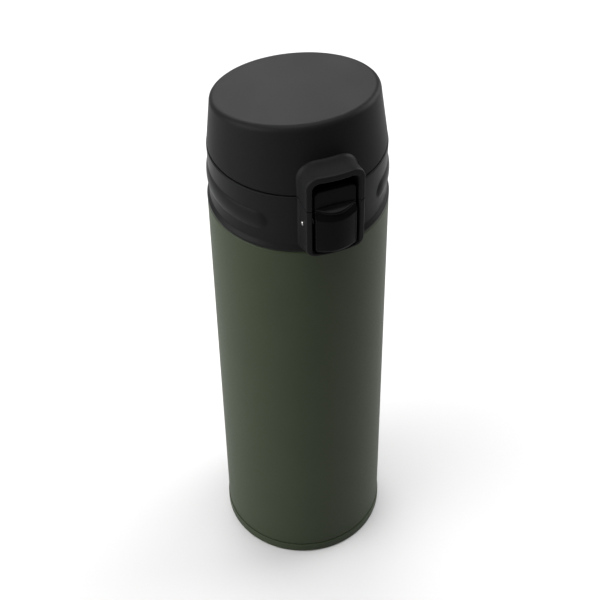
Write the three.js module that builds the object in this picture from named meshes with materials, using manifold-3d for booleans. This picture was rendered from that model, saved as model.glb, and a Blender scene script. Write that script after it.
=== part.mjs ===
// A one-touch vacuum flask: a double-walled steel bottle whose screw-on stopper carries a drinking spout,
// a sprung hinged lid with a slanted top, a rocking release button and a sliding lock.
// Millimetres, +Z up. The origin is the centre of the base, on the surface that the flask stands on.
// The latch faces -Y and the hinge is at +Y.
import * as THREE from "three";
import { mergeVertices } from "three/addons/utils/BufferGeometryUtils.js";
import Module from "manifold-3d";

const wasm = await Module();
wasm.setup();

// ---- Driving dimensions -------------------------------------------------------------------------

const seat = 0.3; // gap left between two pieces that touch
const running = 0.1; // radial clearance of a pin in its bore
const turnSides = 40; // flats round a turned piece
const rodSides = 16; // flats round a pin or a knuckle
const reach = 80; // half-length of a cutting tool, longer than the flask is wide

// Bottle
const bodyRadius = 33;
const bodyHeight = 178.9; // from the table to the top of the straight body
const steelWall = 0.6;
const vacuumGap = 2.9; // between the outer shell and the vessel
const shoulderRise = 1.7; // climb of the shoulder from the body to the neck
const shoulderEdge = 0.9;
const neckInset = 9.6; // the neck's outside is this far inside the body
const neckGap = 0.9; // vacuum space in the neck
const vesselFloorZ = 9;
const vesselCorner = 9; // radius of the vessel's bottom corner
const vesselShoulder = 14; // height over which the vessel narrows to its neck
const vesselShoulderDrop = 1.9; // from the body's top down to the foot of the vessel's neck
const lipThickness = 0.6;

// Base
const capHeight = 4.7;
const capProud = 0.3; // the base cap stands this far outside the body
const capEdge = 0.8; // rounded bottom edge
const capRimWidth = 5; // ring that the flask stands on, from the body's outside inwards
const capRecess = 1.2; // depth of the hollow under the base
const portRadius = 1.5;
const portRoom = 1.5; // from the base cap's floor to the vacuum plate
const getterRadius = 4.5;
const getterHeight = 1.6;
const getterOffset = 14;
const getterStrap = 0.4;
const getterFoot = 2.4;
const reflectorThickness = 0.3;
const reflectorGap = 0.4;
const reflectorEnd = 12; // the foil stops this far short of the vessel's straight part

// Screw joint between neck and stopper
const threadPitch = 5;
const threadTurns = 1.25;
const threadRadius = 1.1; // radius of the rolled thread's round section
const threadShare = 0.4507; // how far up the neck the thread is centred
const sleeveGap = 1.5; // from the neck to the sleeve's bore
const sleeveWall = 2.1;

// Stopper
const collarHeight = 24.65; // from the collar's foot to the middle of its joint line with the lid
const seamGap = 0.5;
const collarInset = 1; // the waist is this far inside the body
const collarTopInset = 0.8;
const collarFootProud = 0.05;
const collarFootHeight = 1.2;
const collarWall = 2.2;
const collarFlange = 2.6;
const rimHeight = 1.4; // spigot that stands up inside the lid
const rimWall = 1.2;
const deckThickness = 2.2;
const plugLipGap = 1.3; // from the vessel's neck to the plug lip
const plugLipWall = 1.8;
const plugLipDepth = 4.5;
const mouthGasketThickness = 1.6;
const mouthDrop = 3.13; // from the deck down to the outer neck's end, under the rolled lip

// Grip ribs
const ribRise = 11.8; // height of the rib's centre line above the collar's foot
const ribHeight = 8.6;
const ribProud = 0.8;
const ribDepth = 1.2; // radial half-axis of the rib's oval section
const ribStart = THREE.MathUtils.degToRad(47); // from the latch to the centre of the rib's round end
const ribEnd = THREE.MathUtils.degToRad(134);

// Spout
const spoutRadius = 13.2;
const spoutWall = 1.6;
const spoutRise = 9.97; // above the deck
const spoutTail = 3.2; // how far the spout reaches below the deck
const spoutFlangeLap = 1.6; // the flange reaches this far past the hole
const spoutFlangeThickness = 1.4;
const spoutGasketWidth = 2.2;

// Lid
const lidInset = 1; // the lid's lower edge is this far inside the body
const lidDraft = 2.4; // how much smaller the lid's radius is at the top
const lidHeight = 20.35; // from the seam to the slanted top, on the axis
const lidSlope = 0.224; // drop of the top per millimetre towards the hinge
const lidSetback = 1.75; // the top edge is centred this far towards the hinge
const lidWall = 2;
const lidEdge = 2.2; // rounded top edge
const linerGap = 2.9; // between the lid's wall and the liner's
const linerWall = 1.2;
const linerRise = 2.13; // from the lid's lower edge to the liner's
const linerFlange = 1.9; // the liner's rim reaches this far out to the lid's wall
const lidSealLap = 0.8; // the seal is this much wider than the spout
const lidSealThickness = 1.8;
const lidSealBulge = 0.9;
const lidSealInset = 2.1; // from the spout's bore to the seal's bulge
const holderWidth = 2.4;

// Hinge
const hingeOffset = 2.6; // from the body's side to the pin
const hingeDrop = 0.25; // from the seam down to the pin
const knuckleRadius = 2.9;
const knuckleLength = 3.4;
const springHalf = 3.6; // half the room between the collar's two knuckles
const pinRadius = 1;
const hingeWire = 0.6;
const hingeCoilTurns = 5;
const hingeLeg = 3;

// Latch housing: its lower half is moulded on the collar and its upper half, the hood, on the lid
const housingProud = 5.9; // its bowed front stands this far outside the body
const housingWall = 2.2;
const housingSplay = 0.1;
const housingCorner = 1.6;
const housingSeamFall = 0.16; // drop of the joint line per millimetre outwards, in front of the collar
const housingRise = 3.1; // from the collar's foot to the housing's lower edge
const housingBottomCorner = 3.2;
const hoodHeight = 13.35; // from the seam to the hood's front top edge
const hoodRise = 0.2; // the hood's top climbs this much back to the lid
const hoodCorner = 5;
const hoodWall = 2.8;
const windowSill = 0.7;
const windowCorner = 3;
const pocketWall = 1.2; // left between the pocket and the collar's bore

// Release button and lock slider
const buttonHalfWidth = 7.55;
const buttonGap = 0.9; // to the window's sides
const buttonSill = 0.6; // to the window's lower edge
const buttonProud = 1.1; // its bowed middle stands this far outside the housing
const buttonBow = 1.9;
const buttonDepth = 4.7;
const bandDrop = 4.15; // from the button's top edge down to the foot of its sloping band
const bandTilt = 1.35; // drop of the band per millimetre outwards
const pivotInset = 2.5; // from the pocket's back wall to the latch pin
const pivotDrop = 9.05; // from the seam down to the latch pin
const latchPinRadius = 0.9;
const barrelRadius = 2.1;
const barrelInset = 0.9;
const armInset = 1.3;
const armThickness = 1.5;
const armBackOffset = 0.1;
const armRise = 4.5; // above the seam
const noseReach = 0.65;
const noseHalfWidth = 3.5;
const noseHeight = 1.6;
const noseDrop = 0.4; // from the arm's end
const catchReach = 0.4;
const catchRise = 0.5;
const catchHeight = 1.5;
const sliderThickness = 1.8;
const sliderRise = 6.05; // above the seam
const sliderCorner = 2;
const sliderTravel = 3;
const sliderLip = 1;
const ledgeDrop = 1.1; // from the seam to where the finger ledge springs from the slider's face
const ledgeReach = 2.6;
const ledgeFall = 0.65; // drop of the ledge per millimetre outwards
const ledgeThickness = 0.7;
const latchWire = 0.5;
const latchCoilRadius = 1.9;
const latchCoilTurns = 4.5;
const latchSpringShare = 0.522; // how far up the room under the barrel the spring's axis lies

// ---- Derived dimensions -------------------------------------------------------------------------

const neckRadius = bodyRadius - neckInset;
const neckBore = neckRadius - steelWall;
const neckFootZ = bodyHeight + shoulderRise;
const neckFoot = neckRadius + 1.2;
const vesselRadius = bodyRadius - steelWall - vacuumGap;
const vesselBore = vesselRadius - steelWall;
const vesselNeck = neckBore - neckGap;
const vesselShoulderTopZ = bodyHeight - vesselShoulderDrop;
const vesselShoulderZ = vesselShoulderTopZ - vesselShoulder;
const capRimInner = bodyRadius - capRimWidth;
const plateZ = capRecess + steelWall + portRoom;
const getterZ = plateZ + steelWall + seat;

const collarBottomZ = bodyHeight + seat;
const seamZ = collarBottomZ + collarHeight;
const collarTopZ = seamZ - seamGap / 2;
const collarWaist = bodyRadius - collarInset;
const collarTopRadius = bodyRadius - collarTopInset;
const collarFoot = bodyRadius + collarFootProud;
const collarBore = collarWaist - collarWall;
const rimRadius = collarBore - rimWall;
const flangeBottomZ = collarTopZ - collarFlange;
const ribZ = collarBottomZ + ribRise;
const sleeveBore = neckRadius + sleeveGap;
const sleeveRadius = sleeveBore + sleeveWall;
const deckTopZ = flangeBottomZ - seat;
const deckBottomZ = deckTopZ - deckThickness;
const deckRadius = collarBore - 0.4;
const mouthZ = deckBottomZ - mouthDrop;
const sleeveBottomZ = neckFootZ + 0.9;
const threadMiddleZ = sleeveBottomZ + threadShare * (mouthZ - sleeveBottomZ);
const threadStartZ = threadMiddleZ - (threadPitch * threadTurns) / 2;
const lipZ = mouthZ + seat;
const lipTopZ = lipZ + lipThickness;
const plugLipRadius = vesselNeck - steelWall - plugLipGap;
const spoutTopZ = deckTopZ + spoutRise;
const spoutBore = spoutRadius - spoutWall;
const spoutHole = spoutRadius + spoutGasketWidth + 2 * seat;

const lidBottomZ = seamZ + seamGap / 2;
const lidBottomRadius = bodyRadius - lidInset;
const lidTopRadius = lidBottomRadius - lidDraft;
const lidTopZ = lidBottomZ + lidHeight;
const linerRadius = lidBottomRadius - lidWall - linerGap;
const linerBottomZ = lidBottomZ + linerRise;
const linerCeilingZ = spoutTopZ + lidSealThickness + 3 * seat;
const lidSealRadius = spoutRadius + lidSealLap;
const lidSealBulgeRadius = spoutBore - lidSealInset;
const hingeY = bodyRadius + hingeOffset;
const hingeZ = seamZ - hingeDrop;
const hingeReach = springHalf + 2 * knuckleLength + 2;

const windowHalfWidth = buttonHalfWidth + buttonGap;
const housingHalfWidth = windowHalfWidth + housingWall;
const housingFront = bodyRadius + housingProud;
const seamBreak = collarWaist - 1.5; // where the joint line starts to drop
const housingSeamDrop = (housingFront + 1 - seamBreak) * housingSeamFall;
const housingBottomZ = collarBottomZ + housingRise;
const windowBottomZ = housingBottomZ + windowSill;
const hoodTopZ = seamZ + hoodHeight;
const windowTopZ = hoodTopZ - hoodWall;
const pocketFloor = collarBore + pocketWall;
const buttonBottomZ = windowBottomZ + buttonSill;
const buttonFront = housingFront + buttonProud;
const buttonSide = buttonFront - buttonBow;
const buttonBack = buttonFront - buttonDepth;
const pivotY = pocketFloor + pivotInset;
const pivotZ = seamZ - pivotDrop;
const barrelHalfLength = buttonHalfWidth - barrelInset;
const armHalfWidth = buttonHalfWidth - armInset;
const armBack = pivotY - armBackOffset;
const armFront = armBack + armThickness;
const armTopZ = seamZ + armRise;
const sliderBack = armFront + seat;
const sliderFront = sliderBack + sliderThickness;
const sliderTopZ = seamZ + sliderRise;
const ledgeZ = seamZ - ledgeDrop;
const sliderBottomZ = ledgeZ - ledgeThickness;
const sliderLipZ = armTopZ - sliderTravel + 1;
const buttonTopZ = sliderBottomZ - seat;
const bandZ = buttonTopZ - bandDrop;
const latchSpringZ = windowBottomZ + latchSpringShare * (pivotZ - barrelRadius - windowBottomZ);

// ---- Solid helpers ------------------------------------------------------------------------------

// A closed three.js geometry as a solid with its faces out.
function solidOf(geometry) {
  const bare = geometry.index ? geometry.toNonIndexed() : geometry.clone();
  for (const name of Object.keys(bare.attributes)) {
    if (name !== "position") bare.deleteAttribute(name);
  }
  const merged = mergeVertices(bare, 1e-4);
  const corners = merged.index.array;
  const kept = [];
  for (let i = 0; i < corners.length; i += 3) {
    const [a, b, c] = [corners[i], corners[i + 1], corners[i + 2]];
    if (a !== b && b !== c && c !== a) kept.push(a, b, c);
  }
  const make = (triangles) =>
    new wasm.Manifold(
      new wasm.Mesh({
        numProp: 3,
        vertProperties: new Float32Array(merged.attributes.position.array),
        triVerts: new Uint32Array(triangles),
      }),
    );
  const made = make(kept);
  return made.volume() > 0 ? made : make(kept.reverse());
}

function geometryOf(solid) {
  const mesh = solid.getMesh();
  const geometry = new THREE.BufferGeometry();
  geometry.setAttribute("position", new THREE.BufferAttribute(new Float32Array(mesh.vertProperties), 3));
  geometry.setIndex(new THREE.BufferAttribute(new Uint32Array(mesh.triVerts), 1));
  geometry.computeVertexNormals();
  return geometry;
}

const join = (first, ...rest) => rest.reduce((sum, piece) => sum.add(piece), first);
const cut = (first, ...rest) => rest.reduce((sum, piece) => sum.subtract(piece), first);
const common = (first, ...rest) => rest.reduce((sum, piece) => sum.intersect(piece), first);

// Points of a quarter round, from angle a to angle b in degrees about (r, z).
function arc(r, z, radius, a, b, steps = 4) {
  const points = [];
  for (let i = 0; i <= steps; i += 1) {
    const angle = THREE.MathUtils.degToRad(a + ((b - a) * i) / steps);
    points.push([r + radius * Math.cos(angle), z + radius * Math.sin(angle)]);
  }
  return points;
}

// A piece turned about the flask's axis from [radius, z] points. A profile off the axis is closed.
function turnedGeometry(profile) {
  const onAxis = profile[0][0] === 0 && profile.at(-1)[0] === 0;
  const points = (onAxis ? profile : [...profile, profile[0]]).map(([r, z]) => new THREE.Vector2(r, z));
  return new THREE.LatheGeometry(points, turnSides).rotateX(Math.PI / 2);
}
const turned = (profile) => solidOf(turnedGeometry(profile));

// A closed tube between two radii, or a disc where the inner radius is 0.
function ring(inner, outer, z0, z1) {
  return turned([
    [inner, z0],
    [outer, z0],
    [outer, z1],
    [inner, z1],
  ]);
}
const disc = (radius, z0, z1) => ring(0, radius, z0, z1);

function block(x0, x1, y0, y1, z0, z1) {
  const box = new THREE.BoxGeometry(x1 - x0, y1 - y0, z1 - z0);
  return solidOf(box.translate((x0 + x1) / 2, (y0 + y1) / 2, (z0 + z1) / 2));
}

// A block that is symmetric in X and lies between two distances in front of the axis.
const frontBlock = (halfWidth, back, front, z0, z1) => block(-halfWidth, halfWidth, -front, -back, z0, z1);

// A cylinder along X.
function rodX(radius, x0, x1, y, z, sides = rodSides) {
  const rod = new THREE.CylinderGeometry(radius, radius, x1 - x0, sides).rotateZ(Math.PI / 2);
  return solidOf(rod.translate((x0 + x1) / 2, y, z));
}

const shapeOf = (points) => new THREE.Shape(points.map(([a, b]) => new THREE.Vector2(a, b)));

// An outline in (x, y) extruded up Z.
function prismZ(outline, z0, z1) {
  const body = new THREE.ExtrudeGeometry(outline, { depth: z1 - z0, bevelEnabled: false, curveSegments: 6 });
  return solidOf(body.translate(0, 0, z0));
}

// An outline in (x, z) extruded along Y.
function prismY(outline, y0, y1) {
  const body = new THREE.ExtrudeGeometry(outline, { depth: y1 - y0, bevelEnabled: false, curveSegments: 4 });
  return solidOf(body.rotateX(Math.PI / 2).translate(0, y1, 0));
}

// An outline in (y, z) extruded along X.
function prismX(outline, x0, x1) {
  const body = new THREE.ExtrudeGeometry(outline, { depth: x1 - x0, bevelEnabled: false, curveSegments: 4 });
  const turn = new THREE.Matrix4().makeBasis(
    new THREE.Vector3(0, 1, 0),
    new THREE.Vector3(0, 0, 1),
    new THREE.Vector3(1, 0, 0),
  );
  return solidOf(body.applyMatrix4(turn).translate(x0, 0, 0));
}

// A rectangle with its own corner radius at the bottom and at the top.
function roundedOutline(x0, x1, z0, z1, bottom, top) {
  const shape = new THREE.Shape();
  shape.moveTo(x0 + bottom, z0);
  shape.lineTo(x1 - bottom, z0);
  if (bottom > 0) shape.absarc(x1 - bottom, z0 + bottom, bottom, -Math.PI / 2, 0);
  shape.lineTo(x1, z1 - top);
  if (top > 0) shape.absarc(x1 - top, z1 - top, top, 0, Math.PI / 2);
  shape.lineTo(x0 + top, z1);
  if (top > 0) shape.absarc(x0 + top, z1 - top, top, Math.PI / 2, Math.PI);
  shape.lineTo(x0, z0 + bottom);
  if (bottom > 0) shape.absarc(x0 + bottom, z0 + bottom, bottom, Math.PI, 1.5 * Math.PI);
  return shape;
}

// A plan outline with straight sides and a front bowed through (halfWidth, side) and (0, front).
function bowedOutline(halfWidth, back, side, front, steps = 10) {
  const sagitta = front - side;
  const radius = (halfWidth * halfWidth + sagitta * sagitta) / (2 * sagitta);
  const points = [[-halfWidth, -back]];
  for (let i = 0; i <= steps; i += 1) {
    const x = -halfWidth + (2 * halfWidth * i) / steps;
    points.push([x, -(front - radius + Math.sqrt(radius * radius - x * x))]);
  }
  points.push([halfWidth, -back]);
  return shapeOf(points);
}

function roundWire(radius, sides) {
  const points = [];
  for (let i = 0; i < sides; i += 1) {
    const angle = (2 * Math.PI * i) / sides;
    points.push([radius * Math.cos(angle), radius * Math.sin(angle)]);
  }
  return shapeOf(points);
}

function swept(section, curve, steps) {
  return solidOf(new THREE.ExtrudeGeometry(section, { steps, extrudePath: curve, bevelEnabled: false }));
}

// A right-handed helix about the flask's axis.
class ThreadCurve extends THREE.Curve {
  constructor(radius, startZ, startAngle) {
    super();
    this.radius = radius;
    this.startZ = startZ;
    this.startAngle = startAngle;
  }
  getPoint(t, target = new THREE.Vector3()) {
    const turns = t * threadTurns;
    const angle = this.startAngle + 2 * Math.PI * turns;
    const z = this.startZ + threadPitch * turns;
    return target.set(this.radius * Math.cos(angle), this.radius * Math.sin(angle), z);
  }
}

function thread(radius, startAngle) {
  const curve = new ThreadCurve(radius, threadStartZ, startAngle);
  return swept(roundWire(threadRadius, 6), curve, Math.round(threadTurns * 24));
}

// Moves a turned lid shape so that its top slants down towards the hinge and its side stays on the seam.
function slanted(geometry) {
  const position = geometry.attributes.position;
  for (let i = 0; i < position.count; i += 1) {
    const y = position.getY(i);
    const z = position.getZ(i);
    const share = THREE.MathUtils.clamp((z - lidBottomZ) / (lidTopZ - lidBottomZ), 0, 1);
    position.setY(i, y + lidSetback * share);
    position.setZ(i, z - lidSlope * y * share);
  }
  return geometry;
}

// ---- Bottle -------------------------------------------------------------------------------------

function outerShell() {
  const stepZ = capHeight + seat;
  const skirt = bodyRadius + capProud - steelWall - seat;
  const skirtEndZ = capRecess + steelWall;
  const inner = bodyRadius - steelWall;
  const wall = turned([
    [skirt, skirtEndZ],
    [skirt, stepZ],
    [bodyRadius, stepZ],
    ...arc(bodyRadius - shoulderEdge, bodyHeight - shoulderEdge, shoulderEdge, 0, 90),
    [neckFoot, neckFootZ],
    [neckRadius, neckFootZ + 0.9],
    [neckRadius, mouthZ],
    [neckBore, mouthZ],
    [neckBore, neckFootZ + 0.6],
    [neckFoot - steelWall, neckFootZ - steelWall],
    [inner - shoulderEdge, bodyHeight - shoulderEdge],
    [inner, bodyHeight - 2 * shoulderEdge],
    [inner, stepZ + steelWall],
    [skirt - steelWall, stepZ + steelWall],
    [skirt - steelWall, skirtEndZ],
  ]);
  return join(wall, thread(neckRadius, 0));
}

function innerVessel() {
  const outside = vesselRadius - vesselCorner;
  return turned([
    [0, vesselFloorZ],
    ...arc(outside, vesselFloorZ + vesselCorner, vesselCorner, -90, 0, 4),
    [vesselRadius, vesselShoulderZ],
    [vesselRadius - 2.4, vesselShoulderZ + 6],
    [vesselNeck, vesselShoulderTopZ],
    [vesselNeck, lipZ],
    [neckRadius, lipZ],
    [neckRadius, lipTopZ],
    [vesselNeck - steelWall, lipTopZ],
    [vesselNeck - steelWall, vesselShoulderTopZ - 0.2],
    [vesselBore - 2.4, vesselShoulderZ + 5.7],
    [vesselBore, vesselShoulderZ],
    ...arc(outside, vesselFloorZ + vesselCorner, vesselCorner - steelWall, 0, -90, 4),
    [0, vesselFloorZ + steelWall],
  ]);
}

function baseCap() {
  const outside = bodyRadius + capProud;
  const inside = outside - steelWall;
  const floorZ = capRecess + steelWall;
  return turned([
    [0, capRecess],
    [capRimInner - 1, capRecess],
    [capRimInner, 0],
    ...arc(outside - capEdge, capEdge, capEdge, -90, 0),
    [outside, capHeight],
    [inside, capHeight],
    [inside, steelWall + 0.2],
    [capRimInner + steelWall, steelWall],
    [capRimInner - 1 + steelWall, floorZ],
    [0, floorZ],
  ]);
}

function vacuumPlate() {
  const edge = bodyRadius + capProud - 2 * steelWall - 2 * seat - steelWall + 0.2;
  return turned([
    [portRadius, plateZ],
    [edge - 1.5, plateZ],
    [edge, plateZ + 0.8],
    [edge, plateZ + 1.6],
    [edge - 0.7, plateZ + 1.6],
    [edge - 1.7, plateZ + steelWall],
    [portRadius, plateZ + steelWall],
  ]);
}

const portSeal = () =>
  turned([
    [0, plateZ - seat - 0.7],
    [portRadius, plateZ - seat - 0.5],
    [portRadius + 0.8, plateZ - seat],
    [0, plateZ - seat],
  ]);

function heatReflector() {
  const inner = vesselRadius + reflectorGap;
  const startZ = vesselFloorZ + vesselCorner + 2;
  return ring(inner, inner + reflectorThickness, startZ, vesselShoulderZ - reflectorEnd);
}

function getter() {
  const pellet = new THREE.CylinderGeometry(getterRadius, getterRadius, getterHeight, 24);
  return solidOf(pellet.rotateX(Math.PI / 2).translate(getterOffset, 0, getterZ + getterHeight / 2));
}

function getterClip() {
  const reachX = getterRadius + seat;
  const top = getterZ + getterHeight + seat;
  const strap = shapeOf([
    [-reachX - getterFoot, getterZ],
    [-reachX, getterZ],
    [-reachX, top],
    [reachX, top],
    [reachX, getterZ],
    [reachX + getterFoot, getterZ],
    [reachX + getterFoot, getterZ + getterStrap],
    [reachX + getterStrap, getterZ + getterStrap],
    [reachX + getterStrap, top + getterStrap],
    [-reachX - getterStrap, top + getterStrap],
    [-reachX - getterStrap, getterZ + getterStrap],
    [-reachX - getterFoot, getterZ + getterStrap],
  ]);
  return prismX(strap, getterOffset - 1.5, getterOffset + 1.5);
}

// ---- Latch housing ------------------------------------------------------------------------------

// The housing's plan: a front bowed about the flask's axis, rounded corners and sides that splay a little.
function housingPlan() {
  const side = Math.sqrt(housingFront ** 2 - housingHalfWidth ** 2);
  const root = pocketFloor - 3.5;
  const points = [[-housingHalfWidth - housingSplay, -root]];
  points.push([-housingHalfWidth, -(side - housingCorner)]);
  const bow = housingHalfWidth - housingCorner;
  for (let i = 0; i <= 8; i += 1) {
    const x = -bow + (2 * bow * i) / 8;
    points.push([x, -Math.sqrt(housingFront ** 2 - x * x)]);
  }
  points.push([housingHalfWidth, -(side - housingCorner)]);
  points.push([housingHalfWidth + housingSplay, -root]);
  return shapeOf(points);
}

function windowCutter(z0, z1) {
  const outline = roundedOutline(-windowHalfWidth, windowHalfWidth, z0, z1, 0, 0);
  return prismY(outline, -reach, -pocketFloor);
}

// ---- Stopper ------------------------------------------------------------------------------------

function collarRing() {
  return turned([
    [collarFoot, collarBottomZ],
    [collarFoot, collarBottomZ + collarFootHeight],
    [collarWaist + 0.1, collarBottomZ + collarFootHeight + 1.6],
    [collarWaist, ribZ],
    [collarTopRadius, collarTopZ],
    [rimRadius, collarTopZ],
    [rimRadius, collarTopZ + rimHeight],
    [rimRadius - rimWall, collarTopZ + rimHeight],
    [rimRadius - rimWall, flangeBottomZ],
    [collarBore, flangeBottomZ],
    [collarBore, collarBottomZ + 0.7],
  ]);
}

function gripRib(side) {
  const radius = collarWaist + ribProud - ribDepth;
  const middle = -Math.PI / 2;
  const from = new THREE.Vector3();
  const spine = new THREE.CatmullRomCurve3(
    Array.from({ length: 13 }, (_, i) => {
      const angle = middle + side * (ribStart + ((ribEnd - ribStart) * i) / 12);
      return new THREE.Vector3(radius * Math.cos(angle), radius * Math.sin(angle), ribZ);
    }),
  );
  const section = new THREE.Shape();
  section.absellipse(0, 0, ribHeight / 2, ribDepth, 0, 2 * Math.PI);
  const along = { steps: 12, extrudePath: spine, bevelEnabled: false, curveSegments: 6 };
  const bar = solidOf(new THREE.ExtrudeGeometry(section, along));
  const ends = [0, 1].map((t) => {
    spine.getPoint(t, from);
    const knob = new THREE.SphereGeometry(1, 12, 8).scale(ribDepth, ribHeight / 2, ribHeight / 2);
    return solidOf(knob.rotateZ(Math.atan2(from.y, from.x)).translate(from.x, from.y, from.z));
  });
  return join(bar, ...ends);
}

// The lower half of the latch housing: rounded below, with an underside that runs back to the collar's foot.
function lowerHousing() {
  const plan = prismZ(housingPlan(), collarBottomZ, collarTopZ);
  const width = housingHalfWidth + 1;
  const face = prismY(
    roundedOutline(-width, width, collarBottomZ, collarTopZ, housingBottomCorner, 0),
    -reach,
    -pocketFloor + 4,
  );
  const underside = prismX(
    shapeOf([
      [-collarFoot + 0.5, collarBottomZ],
      [-housingFront + 1, housingBottomZ - 0.4],
      [-housingFront - 1, housingBottomZ + 0.8],
      [-housingFront - 1, collarTopZ - housingSeamDrop],
      [-seamBreak, collarTopZ],
      [0, collarTopZ],
      [0, collarBottomZ],
    ]),
    -reach,
    reach,
  );
  return common(plan, face, underside);
}

// The collar's two hinge knuckles, each with a web to the wall.
function collarKnuckles() {
  return [-1, 1].map((side) => {
    const x0 = side > 0 ? springHalf : -springHalf - knuckleLength;
    const x1 = x0 + knuckleLength;
    const web = prismX(
      shapeOf([
        [collarBore, hingeZ - 9],
        [hingeY - 2.2, hingeZ - 4.5],
        [hingeY, hingeZ - knuckleRadius],
        [hingeY, collarTopZ],
        [collarBore, collarTopZ],
      ]),
      x0,
      x1,
    );
    return join(web, rodX(knuckleRadius, x0, x1, hingeY, hingeZ));
  });
}

function collar() {
  const pinEnd = housingHalfWidth + 3;
  const body = join(collarRing(), lowerHousing(), gripRib(-1), gripRib(1), ...collarKnuckles());
  const sleeveRoom = disc(collarBore, collarBottomZ - 2, flangeBottomZ);
  const spigotRoom = disc(rimRadius - rimWall, flangeBottomZ - 1, collarTopZ + rimHeight + 1);
  const shoulderRoom = turned([
    [0, bodyHeight - 5],
    [bodyRadius - shoulderEdge, bodyHeight - 5],
    [bodyRadius - shoulderEdge, bodyHeight + seat],
    [neckFoot, neckFootZ + seat],
    [0, neckFootZ + seat],
  ]);
  return cut(
    body,
    sleeveRoom,
    shoulderRoom,
    spigotRoom,
    windowCutter(windowBottomZ, collarTopZ + 5),
    rodX(latchPinRadius + running, -pinEnd, pinEnd, -pivotY, pivotZ),
    rodX(pinRadius + running, -hingeReach, hingeReach, hingeY, hingeZ),
  );
}

// The threaded sleeve with the deck that closes the mouth around the spout.
function threadSleeve() {
  const shell = turned([
    [sleeveBore, sleeveBottomZ],
    [sleeveRadius, sleeveBottomZ],
    [sleeveRadius, deckBottomZ],
    [deckRadius, deckBottomZ],
    [deckRadius, deckTopZ],
    [spoutHole, deckTopZ],
    [spoutHole, deckBottomZ],
    [plugLipRadius - plugLipWall, deckBottomZ],
    [plugLipRadius - plugLipWall, lipTopZ - plugLipDepth],
    [plugLipRadius, lipTopZ - plugLipDepth],
    [plugLipRadius, deckBottomZ],
    [sleeveBore, deckBottomZ],
  ]);
  return join(shell, thread(sleeveBore, Math.PI));
}

function mouthGasket() {
  const top = deckBottomZ - seat;
  const bottom = Math.max(lipTopZ + seat, top - mouthGasketThickness);
  return ring(plugLipRadius + seat, neckRadius + 0.4, bottom, top);
}

function spout() {
  const flangeZ = deckTopZ + seat;
  const bottomZ = deckBottomZ - spoutTail;
  return turned([
    [spoutBore, bottomZ],
    [spoutRadius, bottomZ],
    [spoutRadius, flangeZ],
    [spoutHole + spoutFlangeLap, flangeZ],
    [spoutHole + spoutFlangeLap, flangeZ + spoutFlangeThickness],
    [spoutRadius + 0.6, flangeZ + spoutFlangeThickness],
    [spoutRadius, spoutTopZ - 0.6],
    [spoutRadius - 0.5, spoutTopZ],
    [spoutBore + 0.4, spoutTopZ],
    [spoutBore, spoutTopZ - 0.6],
  ]);
}

const spoutGasket = () =>
  ring(spoutRadius + seat, spoutRadius + seat + spoutGasketWidth, deckBottomZ + seat, deckTopZ - seat);

// ---- Lid ----------------------------------------------------------------------------------------

// Half-profile of the lid's outside, or of its hollow when inset is the wall.
function lidProfile(inset) {
  const taper = (lidBottomRadius - lidTopRadius) / (lidTopZ - lidBottomZ);
  const edge = lidEdge - Math.min(inset, lidEdge - 0.6);
  const top = lidTopZ - inset;
  const sideAt = (z) => lidBottomRadius - inset - taper * (z - lidBottomZ);
  const low = lidBottomZ - (inset > 0 ? 2 : 0);
  return [
    [0, low],
    [sideAt(lidBottomZ), low],
    [sideAt(lidBottomZ), lidBottomZ],
    ...arc(sideAt(top) - edge, top - edge, edge, 0, 90),
    [0, top],
  ];
}

// The hood: the upper half of the latch housing, moulded on the lid.
function hood() {
  const footZ = lidBottomZ - housingSeamDrop;
  const plan = prismZ(housingPlan(), footZ, hoodTopZ + hoodRise + 1);
  const width = housingHalfWidth + 0.2;
  const face = prismY(
    roundedOutline(-width, width, footZ, hoodTopZ + hoodRise, 0, hoodCorner),
    -reach,
    -pocketFloor + 4,
  );
  const top = prismX(
    shapeOf([
      [0, lidBottomZ],
      [-seamBreak, lidBottomZ],
      [-housingFront - 1, footZ],
      [-housingFront - 1, hoodTopZ - 0.4],
      [-housingFront + 1.2, hoodTopZ + 0.2],
      [-lidBottomRadius, hoodTopZ + hoodRise],
      [0, hoodTopZ + hoodRise],
    ]),
    -reach,
    reach,
  );
  const half = windowHalfWidth;
  const window = roundedOutline(-half, half, lidBottomZ - 5, windowTopZ, 0, windowCorner);
  return cut(common(plan, face, top), prismY(window, -reach, -pocketFloor + 3));
}

function lidKnuckles() {
  const start = springHalf + knuckleLength + seat;
  return [-1, 1].map((side) => {
    const x0 = side > 0 ? start : -start - knuckleLength;
    const x1 = x0 + knuckleLength;
    const web = prismX(
      shapeOf([
        [lidBottomRadius - 2.8, lidBottomZ],
        [hingeY, lidBottomZ],
        [hingeY + knuckleRadius * 0.8, hingeZ + knuckleRadius * 0.6],
        [hingeY, hingeZ + knuckleRadius + 0.4],
        [lidBottomRadius - 2.8, lidBottomZ + 5.5],
      ]),
      x0,
      x1,
    );
    return join(web, rodX(knuckleRadius, x0, x1, hingeY, hingeZ));
  });
}

function lidShell() {
  const outside = solidOf(slanted(turnedGeometry(lidProfile(0))));
  const hollow = solidOf(slanted(turnedGeometry(lidProfile(lidWall))));
  const catchZ = lidBottomZ + catchRise;
  const catchFront = lidBottomRadius + catchReach;
  const catchLug = frontBlock(noseHalfWidth, pocketFloor, catchFront, catchZ, catchZ + catchHeight);
  const body = join(outside, hood(), catchLug, ...lidKnuckles());
  return cut(body, hollow, rodX(pinRadius + running, -hingeReach, hingeReach, hingeY, hingeZ));
}

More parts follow.
